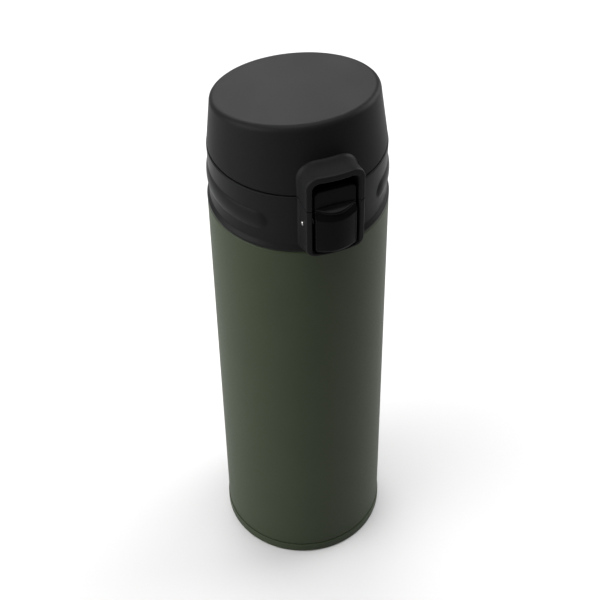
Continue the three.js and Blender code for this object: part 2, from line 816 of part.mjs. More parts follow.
function lidLiner() {
  const rim = linerRadius + linerFlange;
  return turned([
    [0, linerCeilingZ],
    [linerRadius - linerWall - 1, linerCeilingZ],
    [linerRadius - linerWall, linerCeilingZ - 1],
    [linerRadius - linerWall, linerBottomZ],
    [rim, linerBottomZ],
    [rim, linerBottomZ + linerWall],
    [linerRadius, linerBottomZ + linerWall],
    [linerRadius - 0.4, linerCeilingZ + 0.2],
    [linerRadius - 1.4, linerCeilingZ + linerWall],
    [0, linerCeilingZ + linerWall],
  ]);
}

function lidSeal() {
  const bottom = spoutTopZ + seat;
  return turned([
    [0, bottom - lidSealBulge],
    [lidSealBulgeRadius - 1.2, bottom - lidSealBulge],
    [lidSealBulgeRadius, bottom],
    [lidSealRadius, bottom],
    [lidSealRadius, bottom + lidSealThickness],
    [0, bottom + lidSealThickness],
  ]);
}

function sealHolder() {
  const inner = lidSealRadius + seat;
  const bottom = spoutTopZ + 2 * seat;
  return ring(inner, inner + holderWidth, bottom, linerCeilingZ - seat);
}

// ---- Hinge pin and spring -----------------------------------------------------------------------

function hingePin() {
  const end = springHalf + 2 * knuckleLength + seat - 0.2;
  return rodX(pinRadius, -end, end, hingeY, hingeZ);
}

// A torsion spring on the hinge pin: one leg bears down the collar's back and the other up the lid's.
class TorsionSpringCurve extends THREE.Curve {
  constructor(coilRadius, halfLength, leg) {
    super();
    this.coilRadius = coilRadius;
    this.halfLength = halfLength;
    this.leg = leg;
  }
  getPoint(t, target = new THREE.Vector3()) {
    const legShare = 0.12;
    const coil = THREE.MathUtils.clamp((t - legShare) / (1 - 2 * legShare), 0, 1);
    const sweep = 2 * Math.PI * (hingeCoilTurns + 0.5) * coil;
    const x = this.halfLength * (2 * coil - 1);
    const tail = Math.max(0, legShare - t, t - 1 + legShare) / legShare;
    const y = hingeY - this.coilRadius * Math.cos(sweep);
    const z = hingeZ + this.coilRadius * Math.sin(sweep);
    return target.set(x, y, z + (t < 0.5 ? -this.leg : this.leg) * tail);
  }
}

function hingeSpring() {
  const radius = pinRadius + running + 0.6 + hingeWire / 2;
  const halfLength = springHalf - seat - hingeWire / 2;
  return swept(roundWire(hingeWire / 2, 5), new TorsionSpringCurve(radius, halfLength, hingeLeg), 72);
}

// ---- Latch --------------------------------------------------------------------------------------

// Everything in front of the axis below a plane that falls outwards from (distance, z).
function underSlope(distance, z, fall) {
  const near = distance - 60;
  return prismX(
    shapeOf([
      [-near, z - reach],
      [-distance - 20, z - reach],
      [-distance - 20, z - 20 * fall],
      [-distance, z],
      [-near, z],
    ]),
    -reach,
    reach,
  );
}

function releaseButton() {
  const plate = common(
    prismZ(bowedOutline(buttonHalfWidth, buttonBack, buttonSide, buttonFront), buttonBottomZ, buttonTopZ),
    underSlope(sliderFront, buttonTopZ, ledgeFall),
    underSlope(buttonSide, bandZ + bandTilt * buttonBow, bandTilt),
  );
  const barrel = rodX(barrelRadius, -barrelHalfLength, barrelHalfLength, -pivotY, pivotZ);
  const web = frontBlock(barrelHalfLength, pivotY, buttonBack + 0.5, pivotZ - 1.8, pivotZ + 1.8);
  const arm = frontBlock(armHalfWidth, armBack, armFront, pivotZ, armTopZ);
  const root = frontBlock(armHalfWidth, armFront - 0.5, buttonBack + 0.5, pivotZ, buttonTopZ - 0.5);
  const noseTopZ = armTopZ - noseDrop;
  const noseBack = armBack - noseReach;
  const nose = frontBlock(noseHalfWidth, noseBack, armBack + 0.2, noseTopZ - noseHeight, noseTopZ);
  const bore = rodX(latchPinRadius + running, -reach, reach, -pivotY, pivotZ);
  return cut(join(plate, barrel, web, arm, root, nose), bore);
}

// The lock slider: a plate on the button's arm, with side lips behind the arm and a bowed finger ledge.
function lockSlider() {
  const lipInner = armHalfWidth + seat;
  const face = roundedOutline(-buttonHalfWidth, buttonHalfWidth, sliderBottomZ, sliderTopZ, 0, sliderCorner);
  const plate = prismY(face, -sliderFront, -sliderBack);
  const ledge = cut(
    common(
      prismZ(
        bowedOutline(buttonHalfWidth, sliderBack, sliderFront, sliderFront + ledgeReach),
        sliderBottomZ - ledgeReach,
        ledgeZ,
      ),
      underSlope(sliderFront, ledgeZ, ledgeFall),
    ),
    underSlope(sliderFront, sliderBottomZ, ledgeFall),
  );
  const lips = [-1, 1].map((side) => {
    const outer = side * buttonHalfWidth;
    const wall = side * lipInner;
    const edge = side * (armHalfWidth - sliderLip + seat);
    const sorted = (a, b) => [Math.min(a, b), Math.max(a, b)];
    const back = armBack - seat;
    const rear = sliderLip - back;
    const cheek = block(...sorted(outer, wall), -sliderBack - 0.2, rear, sliderBottomZ, sliderLipZ);
    const hook = block(...sorted(outer, edge), -back, rear, sliderBottomZ, sliderLipZ);
    return join(cheek, hook);
  });
  return join(plate, ledge, ...lips);
}

const latchPin = () => rodX(latchPinRadius, 0.3 - housingHalfWidth, housingHalfWidth - 0.3, -pivotY, pivotZ);

class CoilCurve extends THREE.Curve {
  getPoint(t, target = new THREE.Vector3()) {
    const angle = 2 * Math.PI * latchCoilTurns * t;
    const near = pocketFloor + seat + latchWire / 2;
    const far = buttonBack - seat - latchWire / 2;
    const x = latchCoilRadius * Math.cos(angle);
    const z = latchSpringZ + latchCoilRadius * Math.sin(angle);
    return target.set(x, -(near + (far - near) * t), z);
  }
}

const latchSpring = () => swept(roundWire(latchWire / 2, 5), new CoilCurve(), 45);

// ---- Materials and assembly ---------------------------------------------------------------------

function finish(color, roughness, metalness) {
  return new THREE.MeshStandardMaterial({ color, roughness, metalness });
}
const olivePaint = finish(0x3b4434, 0.55, 0.1);
const rawSteel = finish(0xb9bab8, 0.35, 1);
const springSteel = finish(0xc9c9c6, 0.25, 1);
const foil = finish(0xc4c6c8, 0.3, 1);
const grainedBlack = finish(0x1c1c1d, 0.6, 0);
const satinBlack = finish(0x19191b, 0.45, 0);
const smoothBlack = finish(0x0f0f11, 0.3, 0);
const greyPlastic = finish(0x2a2a2c, 0.5, 0);
const silicone = finish(0x8d8f8e, 0.7, 0);
const getterGrey = finish(0x55524e, 0.8, 0.4);

const flask = new THREE.Group();
const bottle = new THREE.Group();
const stopper = new THREE.Group();
const lid = new THREE.Group();
const latch = new THREE.Group();
stopper.add(lid, latch);
flask.add(bottle, stopper);

function add(group, name, solid, material) {
  const mesh = new THREE.Mesh(geometryOf(solid), material);
  mesh.name = name;
  group.add(mesh);
}

add(bottle, "outer_shell", outerShell(), olivePaint);
add(bottle, "inner_vessel", innerVessel(), rawSteel);
add(bottle, "base_cap", baseCap(), olivePaint);
add(bottle, "vacuum_plate", vacuumPlate(), rawSteel);
add(bottle, "port_seal", portSeal(), getterGrey);
add(bottle, "heat_reflector", heatReflector(), foil);
add(bottle, "getter", getter(), getterGrey);
add(bottle, "getter_clip", getterClip(), rawSteel);
add(stopper, "collar", collar(), satinBlack);
add(stopper, "thread_sleeve", threadSleeve(), greyPlastic);
add(stopper, "mouth_gasket", mouthGasket(), silicone);
add(stopper, "spout", spout(), greyPlastic);
add(stopper, "spout_gasket", spoutGasket(), silicone);
add(stopper, "hinge_pin", hingePin(), springSteel);
add(stopper, "hinge_spring", hingeSpring(), springSteel);
add(lid, "lid_shell", lidShell(), grainedBlack);
add(lid, "lid_liner", lidLiner(), greyPlastic);
add(lid, "lid_seal", lidSeal(), silicone);
add(lid, "seal_holder", sealHolder(), greyPlastic);
add(latch, "release_button", releaseButton(), smoothBlack);
add(latch, "lock_slider", lockSlider(), smoothBlack);
add(latch, "latch_pin", latchPin(), springSteel);
add(latch, "latch_spring", latchSpring(), springSteel);

export default flask;
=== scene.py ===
import math

import bmesh
import bpy
from mathutils import Matrix, Vector

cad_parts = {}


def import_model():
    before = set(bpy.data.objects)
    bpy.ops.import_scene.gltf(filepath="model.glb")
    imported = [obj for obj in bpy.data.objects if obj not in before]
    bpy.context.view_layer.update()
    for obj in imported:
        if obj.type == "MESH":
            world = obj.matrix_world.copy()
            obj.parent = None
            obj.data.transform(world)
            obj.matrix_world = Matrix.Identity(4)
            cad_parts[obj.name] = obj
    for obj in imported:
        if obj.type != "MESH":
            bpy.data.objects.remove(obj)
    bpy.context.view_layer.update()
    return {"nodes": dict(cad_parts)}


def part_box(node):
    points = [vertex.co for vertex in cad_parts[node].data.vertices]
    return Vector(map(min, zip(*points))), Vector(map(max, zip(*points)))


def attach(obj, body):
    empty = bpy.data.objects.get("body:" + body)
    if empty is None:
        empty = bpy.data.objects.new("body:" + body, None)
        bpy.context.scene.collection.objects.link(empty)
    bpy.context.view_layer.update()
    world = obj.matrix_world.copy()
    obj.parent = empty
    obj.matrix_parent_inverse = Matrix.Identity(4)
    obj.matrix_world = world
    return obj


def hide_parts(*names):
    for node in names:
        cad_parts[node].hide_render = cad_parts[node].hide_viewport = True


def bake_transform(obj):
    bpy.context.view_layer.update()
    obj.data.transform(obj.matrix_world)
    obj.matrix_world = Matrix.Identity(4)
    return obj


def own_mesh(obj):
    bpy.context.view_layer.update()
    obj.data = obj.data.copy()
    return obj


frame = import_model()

# ---- Sizes, in millimetres -----------------------------------------------------------------------
# What lines up with the frame is read from its boxes. The rest are walls, edges and clearances.

MM = 0.001
TURN = 2 * math.pi


def span(node):
    """Lowest and highest corner of a frame node, in millimetres."""
    low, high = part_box(node)
    return low / MM, high / MM


def centre(node):
    low, high = span(node)
    return (low + high) / 2


SHELL = span("outer_shell")
VESSEL = span("inner_vessel")
CAP = span("base_cap")
COLLAR = span("collar")
SLEEVE = span("thread_sleeve")
SPOUT = span("spout")
LINER = span("lid_liner")
LID_SEAL = span("lid_seal")
HOLDER = span("seal_holder")
BUTTON = span("release_button")
SLIDER = span("lock_slider")
HINGE = centre("hinge_pin")
PIVOT = centre("latch_pin")
COIL = centre("latch_spring")

SEAT = 0.3
STEEL = 0.6
WELD = 1e-4

BODY_RADIUS = SHELL[1].x
BODY_TOP = COLLAR[0].z - SEAT
NECK_RADIUS = 23.4
NECK_BORE = NECK_RADIUS - STEEL
NECK_GAP = 0.9
PLUG_RADIUS = NECK_BORE - NECK_GAP - STEEL - 1.3
SPOUT_RADIUS = 13.2
SHOULDER_RISE = 1.7
THREAD_RADIUS = 1.1
THREAD_PITCH = 5
THREAD_TURNS = 1.25
THREAD_START = 184.63

SEAM_GAP = 0.5
RIM_HEIGHT = 1.4
COLLAR_FOOT = COLLAR[0].z
SEAM = HINGE.z + 0.25
COLLAR_TOP = SEAM - SEAM_GAP / 2
SEAM_BREAK = BODY_RADIUS - 2.5
SEAM_FALL = 0.16
WAIST = BODY_RADIUS - 1
COLLAR_TOP_RADIUS = BODY_RADIUS - 0.8
COLLAR_BORE = WAIST - 2.2
COLLAR_FLANGE = 2.6
RIM_RADIUS = COLLAR_BORE - 1.2
RIM_WALL = 1.2

RIB_Z = COLLAR_FOOT + 11.8
RIB_HALF_HEIGHT = 4.3
RIB_PROUD = 0.8
RIB_DEPTH = 1.2
RIB_START = math.radians(47)
RIB_END = math.radians(134)

LID_FOOT = SEAM + SEAM_GAP / 2
LID_RADIUS = BODY_RADIUS - 1
LID_DRAFT = 2.4
LID_HEIGHT = 20.25
LID_SLOPE = 0.224
LID_SETBACK = 1.75
LID_WALL = 2
LID_TOP_EDGE = 2.2
LEDGE_TOP = SEAM - 1.1
LEDGE_THICKNESS = 0.7
LEDGE_FALL = 0.65

HOUSING_FRONT = -COLLAR[0].y
HOUSING_HALF = 10.65
HOUSING_FOOT = COLLAR_FOOT + 3.1
HOUSING_UNDERSIDE = 3
HOOD_TOP = SEAM + 13.35
SPLAY = 0.1
FLARE = 0.45
FLARE_REACH = 1.2
OUTER_TOP_CORNER = 5
WALL_TOP_CORNER = 7.5
OUTER_FOOT_CORNER = 3
WINDOW_HALF = 8.45
WINDOW_TOP = HOOD_TOP - 2.8
WINDOW_FOOT = HOUSING_FOOT + 0.7
WINDOW_TOP_CORNER = 2.9
WINDOW_FOOT_CORNER = 1.5
POCKET = COLLAR_BORE + 1.2
ARM_BACK = POCKET + 2.4

KNUCKLE_RADIUS = 2.9
KNUCKLE_LENGTH = 3.4
SPRING_HALF = 3.6


# ---- Shapes --------------------------------------------------------------------------------------


def rounded(points, closed=False, grain=math.radians(15)):
    """A polyline of (across, up, radius) as plain points, each corner turned to its radius."""
    made = []
    count = len(points)
    for i, point in enumerate(points):
        here = Vector(point[:2])
        radius = point[2] if len(point) > 2 else 0
        if not radius or (not closed and i in (0, count - 1)):
            made.append(here)
            continue
        before = Vector(points[i - 1][:2]) - here
        after = Vector(points[(i + 1) % count][:2]) - here
        half = before.angle(after) / 2
        reach = min(radius / math.tan(half), before.length * 0.49, after.length * 0.49)
        radius = reach * math.tan(half)
        middle = here + (before.normalized() + after.normalized()).normalized() * radius / math.sin(half)
        start = here + before.normalized() * reach - middle
        end = here + after.normalized() * reach - middle
        sweep = math.atan2(start.cross(end), start.dot(end))
        steps = max(3, math.ceil(abs(sweep) / grain))
        for step in range(steps + 1):
            made.append(middle + Matrix.Rotation(sweep * step / steps, 2) @ start)
    return made


def guarded(points, closed=False, reach=0.35):
    """The same polyline with a point near both ends of each long side, so that shading stays flat there."""
    made = []
    count = len(points)
    for i, here in enumerate(points):
        made.append(here)
        if i == count - 1 and not closed:
            break
        there = points[(i + 1) % count]
        along = there - here
        if along.length > 4 * reach:
            step = along.normalized() * reach
            made += [here + step, there - step]
    return made


def wire(bm, points, closed):
    """Points joined by edges. Returns the vertices and edges."""
    verts = [bm.verts.new(point) for point in points]
    edges = [bm.edges.new(pair) for pair in zip(verts, verts[1:])]
    if closed:
        edges.append(bm.edges.new((verts[-1], verts[0])))
    return verts, edges


def turned(profile, steps=160, axis_ends=False):
    """A profile of (radius, height, corner radius) spun about the flask's axis."""
    bm = bmesh.new()
    points = guarded(rounded(profile, closed=not axis_ends), closed=not axis_ends)
    verts, edges = wire(bm, [(p.x, 0, p.y) for p in points], closed=not axis_ends)
    bmesh.ops.spin(
        bm,
        geom=verts + edges,
        cent=(0, 0, 0),
        axis=(0, 0, 1),
        angle=TURN,
        steps=steps,
        use_merge=True,
    )
    return bm


def rod_x(bm, profile, y, z, steps=40):
    """A profile of (distance along X, radius, corner radius) spun about a line along X."""
    closed = profile[0][1] > 0
    points = rounded(profile, closed=closed)
    verts, edges = wire(bm, [(p.x, y, z + p.y) for p in points], closed=closed)
    bmesh.ops.spin(
        bm,
        geom=verts + edges,
        cent=(0, y, z),
        axis=(1, 0, 0),
        angle=TURN,
        steps=steps,
        use_merge=True,
    )


def loft(bm, rings, closed=False):
    """A skin through rings with the same number of points, with flat ends or joined last to first."""
    order = bm.verts.layers.int.get("order") or bm.verts.layers.int.new("order")
    verts, edges = wire(bm, rings[0], closed=True)
    for index, vert in enumerate(verts):
        vert[order] = index
    first = edges
    for ring in rings[1:]:
        made = bmesh.ops.extrude_edge_only(bm, edges=edges)["geom"]
        moved = {item for item in made if isinstance(item, bmesh.types.BMVert)}
        for vert in moved:
            vert.co = ring[vert[order]]
        edges = [
            item
            for item in made
            if isinstance(item, bmesh.types.BMEdge) and item.verts[0] in moved and item.verts[1] in moved
        ]
    if closed:
        bmesh.ops.bridge_loops(bm, edges=first + edges)
    else:
        bmesh.ops.edgeloop_fill(bm, edges=first)
        bmesh.ops.edgeloop_fill(bm, edges=edges)


def block(bm, low, high, edge=0.3):
    """A box between two corners with rounded edges."""
    low, high = Vector(low), Vector(high)
    middle = (low + high) / 2
    size = high - low
    matrix = Matrix.Translation(middle) @ Matrix.Diagonal((*size, 1))
    verts = bmesh.ops.create_cube(bm, size=1, matrix=matrix)["verts"]
    edges = {e for v in verts for e in v.link_edges}
    bmesh.ops.bevel(
        bm,
        geom=list(edges),
        offset=edge,
        affect="EDGES",
        segments=2,
        profile=0.5,
        material=-1,
        clamp_overlap=True,
    )


def front_block(bm, half, back, front, low, high, edge=0.3):
    """A box symmetric in X, between two distances in front of the axis."""
    block(bm, (-half, -front, low), (half, -back, high), edge)


def prism_x(bm, points, x0, x1, edge=0.3):
    """A polygon of (y, z) extruded along X, with rounded edges."""
    verts, edges = wire(bm, [(x0, y, z) for y, z in points], closed=True)
    face = bmesh.ops.edgeloop_fill(bm, edges=edges)["faces"]
    made = bmesh.ops.extrude_face_region(bm, geom=face, use_keep_orig=True)["geom"]
    moved = [item for item in made if isinstance(item, bmesh.types.BMVert)]
    bmesh.ops.translate(bm, verts=moved, vec=(x1 - x0, 0, 0))
    around = {e for v in verts + moved for e in v.link_edges}
    bmesh.ops.bevel(
        bm,
        geom=list(around),
        offset=edge,
        affect="EDGES",
        segments=2,
        profile=0.5,
        material=-1,
        clamp_overlap=True,
    )


def helix(bm, section, centre_point, axis, turns, climb, steps):
    """A closed section swept round an axis while it climbs along it, with its ends filled."""
    verts, edges = wire(bm, section, closed=True)
    made = bmesh.ops.spin(
        bm,
        geom=edges,
        cent=centre_point,
        axis=axis,
        dvec=Vector(axis) * climb / steps,
        angle=TURN * turns,
        steps=steps,
        use_duplicate=False,
    )["geom_last"]
    bmesh.ops.edgeloop_fill(bm, edges=edges)
    bmesh.ops.edgeloop_fill(bm, edges=[e for e in made if isinstance(e, bmesh.types.BMEdge)])


def circle(radius, sides):
    return [
        (radius * math.cos(TURN * i / sides), radius * math.sin(TURN * i / sides)) for i in range(sides)
    ]


def rectangle(half, foot, top, foot_corner, top_corner, grain=8, across=20, up=24):
    """A rounded rectangle of (x, z) points, always the same number of them."""
    points = []

    def corner(x, z, radius, start):
        for i in range(grain + 1):
            angle = math.radians(start + 90 * i / grain)
            points.append((x + radius * math.cos(angle), z + radius * math.sin(angle)))

    def side(start, end, steps):
        for i in range(1, steps):
            share = i / steps
            points.append(tuple(a + (b - a) * share for a, b in zip(start, end)))

    low, high = foot_corner, top_corner
    corner(half - high, top - high, high, 0)
    side((half - high, top), (high - half, top), across)
    corner(high - half, top - high, high, 90)
    side((-half, top - high), (-half, foot + low), up)
    corner(low - half, foot + low, low, 180)
    side((low - half, foot), (half - low, foot), across)
    corner(half - low, foot + low, low, 270)
    side((half, foot + low), (half, top - high), up)
    return points


def mix(a, b, share):
    return a + (b - a) * share


def clamp(value, low=0.0, high=1.0):
    return max(low, min(high, value))


# ---- Materials -----------------------------------------------------------------------------------


class Socket:
    """An output of a shader node, for sums and products."""

    def __init__(self, finish, socket):
        self.finish = finish
        self.socket = socket

    def math(self, operation, *operands):
        return self.finish.node("ShaderNodeMath", dict(enumerate(operands)), operation=operation)

    def __add__(self, other):
        return self.math("ADD", self, other)

    def __radd__(self, other):
        return self.math("ADD", other, self)

    def __sub__(self, other):
        return self.math("SUBTRACT", self, other)

    def __rsub__(self, other):
        return self.math("SUBTRACT", other, self)

    def __mul__(self, other):
        return self.math("MULTIPLY", self, other)

    def __rmul__(self, other):
        return self.math("MULTIPLY", other, self)

    def __truediv__(self, other):
        return self.math("DIVIDE", self, other)

    def __rtruediv__(self, other):
        return self.math("DIVIDE", other, self)

    def __pow__(self, other):
        return self.math("POWER", self, other)


class Finish:
    """A procedural material."""

    def __init__(self, name):
        self.material = bpy.data.materials.new(name)
        self.material.use_nodes = True
        self.tree = self.material.node_tree
        self.tree.nodes.clear()

    def node(self, kind, values=None, output=0, **settings):
        made = self.tree.nodes.new(kind)
        for key, value in settings.items():
            setattr(made, key, value)
        for key, value in (values or {}).items():
            if isinstance(value, Socket):
                self.tree.links.new(value.socket, made.inputs[key])
            else:
                made.inputs[key].default_value = value
        return Socket(self, made.outputs[output]) if made.outputs else None

    def place(self, stretch=(1, 1, 1)):
        """The object's own coordinates, in metres, stretched along its axes."""
        place = self.node("ShaderNodeTexCoord", output="Object")
        return self.node("ShaderNodeVectorMath", {0: place, 1: stretch}, operation="MULTIPLY")

    def noise(self, scale, detail=2.0, stretch=(1, 1, 1)):
        return self.node(
            "ShaderNodeTexNoise",
            {"Vector": self.place(stretch), "Scale": scale, "Detail": detail},
            output="Fac",
        )

    def blend(self, share, dark, light):
        return self.node(
            "ShaderNodeMix",
            {0: share, 6: (*dark, 1), 7: (*light, 1)},
            output=2,
            data_type="RGBA",
        )

    def bump(self, height, strength, depth):
        return self.node(
            "ShaderNodeBump", {"Height": height, "Strength": strength, "Distance": depth}
        )

    def surface(self, **values):
        named = {key.replace("_", " "): value for key, value in values.items()}
        shader = self.node("ShaderNodeBsdfPrincipled", named)
        self.node("ShaderNodeOutputMaterial", {"Surface": shader})
        return self.material


def moulded(name, dark, light, roughness, grain, grain_strength, coat=0.0):
    """Moulded plastic: fine spark grain, with a little wear in its shine."""
    finish = Finish(name)
    broad = finish.noise(55.0, 3.0)
    fine = finish.noise(grain, 3.0)
    return finish.surface(
        Base_Color=finish.blend(fine, dark, light),
        Roughness=roughness + (broad - 0.5) * 0.1 + (fine - 0.5) * 0.12,
        Normal=finish.bump(fine, grain_strength, 0.00003),
        Coat_Weight=coat,
        Coat_Roughness=0.12,
        IOR=1.1,
    )


def powder_coat():
    """Olive paint: fine speckle over a slight orange peel."""
    finish = Finish("powder_coat")
    broad = finish.noise(40.0, 2.0)
    peel = finish.noise(1500.0, 2.0)
    speck = finish.noise(6000.0, 2.0)
    dark = (0.0165, 0.0222, 0.0112)
    light = (0.027, 0.0352, 0.0192)
    return finish.surface(
        Base_Color=finish.blend(broad * 0.35 + speck * 0.65, dark, light),
        Roughness=0.5 + (peel - 0.5) * 0.16,
        Normal=finish.bump(peel * 0.7 + speck * 0.3, 0.22, 0.00004),
        IOR=1.2,
    )


def steel(name, tint, roughness, stretch, scale):
    """Bare steel with fine lines along its working direction."""
    finish = Finish(name)
    lines = finish.noise(scale, 3.0, stretch)
    return finish.surface(
        Base_Color=finish.blend(lines, tuple(c * 0.86 for c in tint), tint),
        Metallic=1.0,
        Roughness=roughness + (lines - 0.5) * 0.16,
        Normal=finish.bump(lines, 0.12, 0.00002),
    )


def crinkled_foil():
    """Thin bright foil, wrapped by hand."""
    finish = Finish("reflector_foil")
    folds = finish.noise(260.0, 4.0)
    return finish.surface(
        Base_Color=finish.blend(folds, (0.72, 0.73, 0.75), (0.86, 0.87, 0.88)),
        Metallic=1.0,
        Roughness=0.18 + folds * 0.16,
        Normal=finish.bump(folds, 0.6, 0.0002),
    )


def sintered_getter():
    """Pressed, porous metal powder."""
    finish = Finish("sintered_getter")
    grain = finish.noise(2600.0, 4.0)
    return finish.surface(
        Base_Color=finish.blend(grain, (0.05, 0.047, 0.043), (0.16, 0.15, 0.14)),
        Metallic=0.4,
        Roughness=0.75 + (grain - 0.5) * 0.2,
        Normal=finish.bump(grain, 0.6, 0.0001),
    )


def soft_silicone():
    """Pale grey food-grade silicone."""
    finish = Finish("soft_silicone")
    cloud = finish.noise(180.0, 2.0)
    fine = finish.noise(2400.0, 2.0)
    return finish.surface(
        Base_Color=finish.blend(cloud, (0.25, 0.26, 0.255), (0.30, 0.31, 0.305)),
        Roughness=0.55 + (fine - 0.5) * 0.1,
        Normal=finish.bump(fine, 0.1, 0.00003),
        Subsurface_Weight=0.1,
        Subsurface_Scale=0.002,
    )


PAINT = powder_coat()
LID_BLACK = moulded("lid_black", (0.0048, 0.0048, 0.005), (0.0088, 0.0088, 0.0092), 0.44, 4200.0, 0.55)
COLLAR_BLACK = moulded("collar_black", (0.005, 0.005, 0.0053), (0.009, 0.009, 0.0094), 0.36, 3000.0, 0.25)
LATCH_BLACK = moulded("latch_black", (0.0018, 0.0018, 0.002), (0.0032, 0.0032, 0.0034), 0.24, 2600.0, 0.08)
CHARCOAL = moulded("inner_charcoal", (0.018, 0.018, 0.019), (0.028, 0.028, 0.03), 0.45, 2600.0, 0.15)
SILICONE = soft_silicone()
BRUSHED = steel("brushed_steel", (0.62, 0.61, 0.59), 0.3, (1, 1, 14), 900.0)
WIRE = steel("drawn_wire", (0.38, 0.37, 0.36), 0.34, (6, 1, 1), 1500.0)
FOIL = crinkled_foil()
GETTER = sintered_getter()


def piece(bm, name, node, body, material, sharp=35):
    """The finished mesh as an object that stands for a frame node and rides on its body."""
    bmesh.ops.remove_doubles(bm, verts=bm.verts, dist=WELD)
    bmesh.ops.recalc_face_normals(bm, faces=bm.faces)
    bmesh.ops.scale(bm, vec=(MM, MM, MM), verts=bm.verts)
    mesh = bpy.data.meshes.new(name)
    bm.to_mesh(mesh)
    bm.free()
    mesh.polygons.foreach_set("use_smooth", [True] * len(mesh.polygons))
    mesh.set_sharp_from_angle(angle=math.radians(sharp))
    made = bpy.data.objects.new(name, mesh)
    bpy.context.scene.collection.objects.link(made)
    mesh.materials.append(material)
    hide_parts(node)
    if body:
        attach(made, body)
    return made


# ---- Bottle --------------------------------------------------------------------------------------


def painted_body():
    foot = CAP[1].z + SEAT
    skirt = CAP[1].x - STEEL - SEAT
    inner = BODY_RADIUS - STEEL
    neck_foot = BODY_TOP + SHOULDER_RISE
    bm = turned(
        [
            (skirt, 1.8),
            (skirt, foot, 0.2),
            (BODY_RADIUS, foot, 0.35),
            (BODY_RADIUS, BODY_TOP, 0.9),
            (NECK_RADIUS + 1.2, neck_foot, 1.0),
            (NECK_RADIUS, neck_foot + 1.2, 0.8),
            (NECK_RADIUS, SHELL[1].z, 0.2),
            (NECK_BORE, SHELL[1].z, 0.1),
            (NECK_BORE, neck_foot + 0.6),
            (NECK_RADIUS + STEEL, neck_foot - STEEL),
            (inner - 0.9, BODY_TOP - 0.9),
            (inner, BODY_TOP - 1.8),
            (inner, foot + STEEL),
            (skirt - STEEL, foot + STEEL),
            (skirt - STEEL, 1.8),
        ],
        steps=192,
    )
    section = [(NECK_RADIUS + x, 0, THREAD_START + z) for x, z in circle(THREAD_RADIUS, 12)]
    helix(bm, section, (0, 0, 0), (0, 0, 1), THREAD_TURNS, THREAD_TURNS * THREAD_PITCH, 120)
    return piece(bm, "painted_body", "outer_shell", "bottle", PAINT)


def foot_cap():
    outside = CAP[1].x
    rim = BODY_RADIUS - 5
    recess = 1.2
    bm = turned(
        [
            (0, recess),
            (rim - 1, recess, 0.5),
            (rim, 0, 0.5),
            (outside, 0, 0.9),
            (outside, CAP[1].z, 0.22),
            (outside - STEEL, CAP[1].z, 0.1),
            (outside - STEEL, 0.7, 0.6),
            (rim + STEEL, STEEL, 0.4),
            (rim - 1 + STEEL, recess + STEEL, 0.4),
            (0, recess + STEEL),
        ],
        steps=192,
        axis_ends=True,
    )
    return piece(bm, "foot_cap", "base_cap", "bottle", PAINT)


def steel_vessel():
    radius = VESSEL[1].x
    floor = VESSEL[0].z
    lip = VESSEL[1].z
    neck = NECK_BORE - NECK_GAP
    corner = 9
    shoulder = 163
    top = 177
    bm = turned(
        [
            (0, floor),
            (radius, floor, corner),
            (radius, shoulder, 6),
            (neck, top, 5),
            (neck, lip - STEEL),
            (NECK_RADIUS, lip - STEEL, 0.1),
            (NECK_RADIUS, lip, 0.3),
            (neck - STEEL, lip, 0.5),
            (neck - STEEL, top - 0.2, 5),
            (radius - STEEL, shoulder, 6),
            (radius - STEEL, floor + STEEL, corner - STEEL),
            (0, floor + STEEL),
        ],
        axis_ends=True,
    )
    return piece(bm, "steel_vessel", "inner_vessel", "bottle", BRUSHED)


# ---- Walls that the latch housing meets ----------------------------------------------------------


def lid_share(z):
    """How far up the lid's slanting front wall a height is."""
    return clamp((z - LID_FOOT) / (LID_HEIGHT + LID_SLOPE * (LID_RADIUS - 1)))


def wall_distance(x, z):
    """How far in front of the axis the collar's or the lid's wall is, at (x, z)."""
    if z <= SEAM:
        return math.sqrt((WAIST + 0.05) ** 2 - x * x)
    share = lid_share(z)
    return math.sqrt((LID_RADIUS - LID_DRAFT * share) ** 2 - x * x) - LID_SETBACK * share


def housing_ring(share, out=0.0, behind=0.0, sunk=0.0):
    """One ring of the latch housing. share runs from the outside, 0, to the window, 1; out runs from the
    wall, 0, to the bowed front, 1; behind and sunk set it back from the front or into the wall."""
    depth = HOUSING_FRONT - WAIST
    back = 1 - out
    flare = FLARE * clamp(1 - out * depth / FLARE_REACH) ** 2 if share == 0 else 0
    grow = (SPLAY * back + flare) * (share == 0)
    rise = flare * (share == 0)
    drop = (HOUSING_UNDERSIDE * back + flare) * (share == 0)
    half = mix(HOUSING_HALF, WINDOW_HALF, share) + grow
    top = mix(HOOD_TOP, WINDOW_TOP, share) + rise
    foot = max(mix(HOUSING_FOOT, WINDOW_FOOT, share) - drop, COLLAR_FOOT + 0.02)
    outline = rectangle(
        half,
        foot,
        top,
        mix(OUTER_FOOT_CORNER, WINDOW_FOOT_CORNER, share),
        mix(mix(WALL_TOP_CORNER, OUTER_TOP_CORNER, out), WINDOW_TOP_CORNER, share),
    )
    ring = []
    for x, z in outline:
        near = wall_distance(x, z)
        if share == 1 and z < SEAM:
            near = min(near, POCKET)
        far = math.sqrt(HOUSING_FRONT**2 - x * x) - behind
        ring.append((x, -(mix(near, far, out) - sunk), z))
    return ring


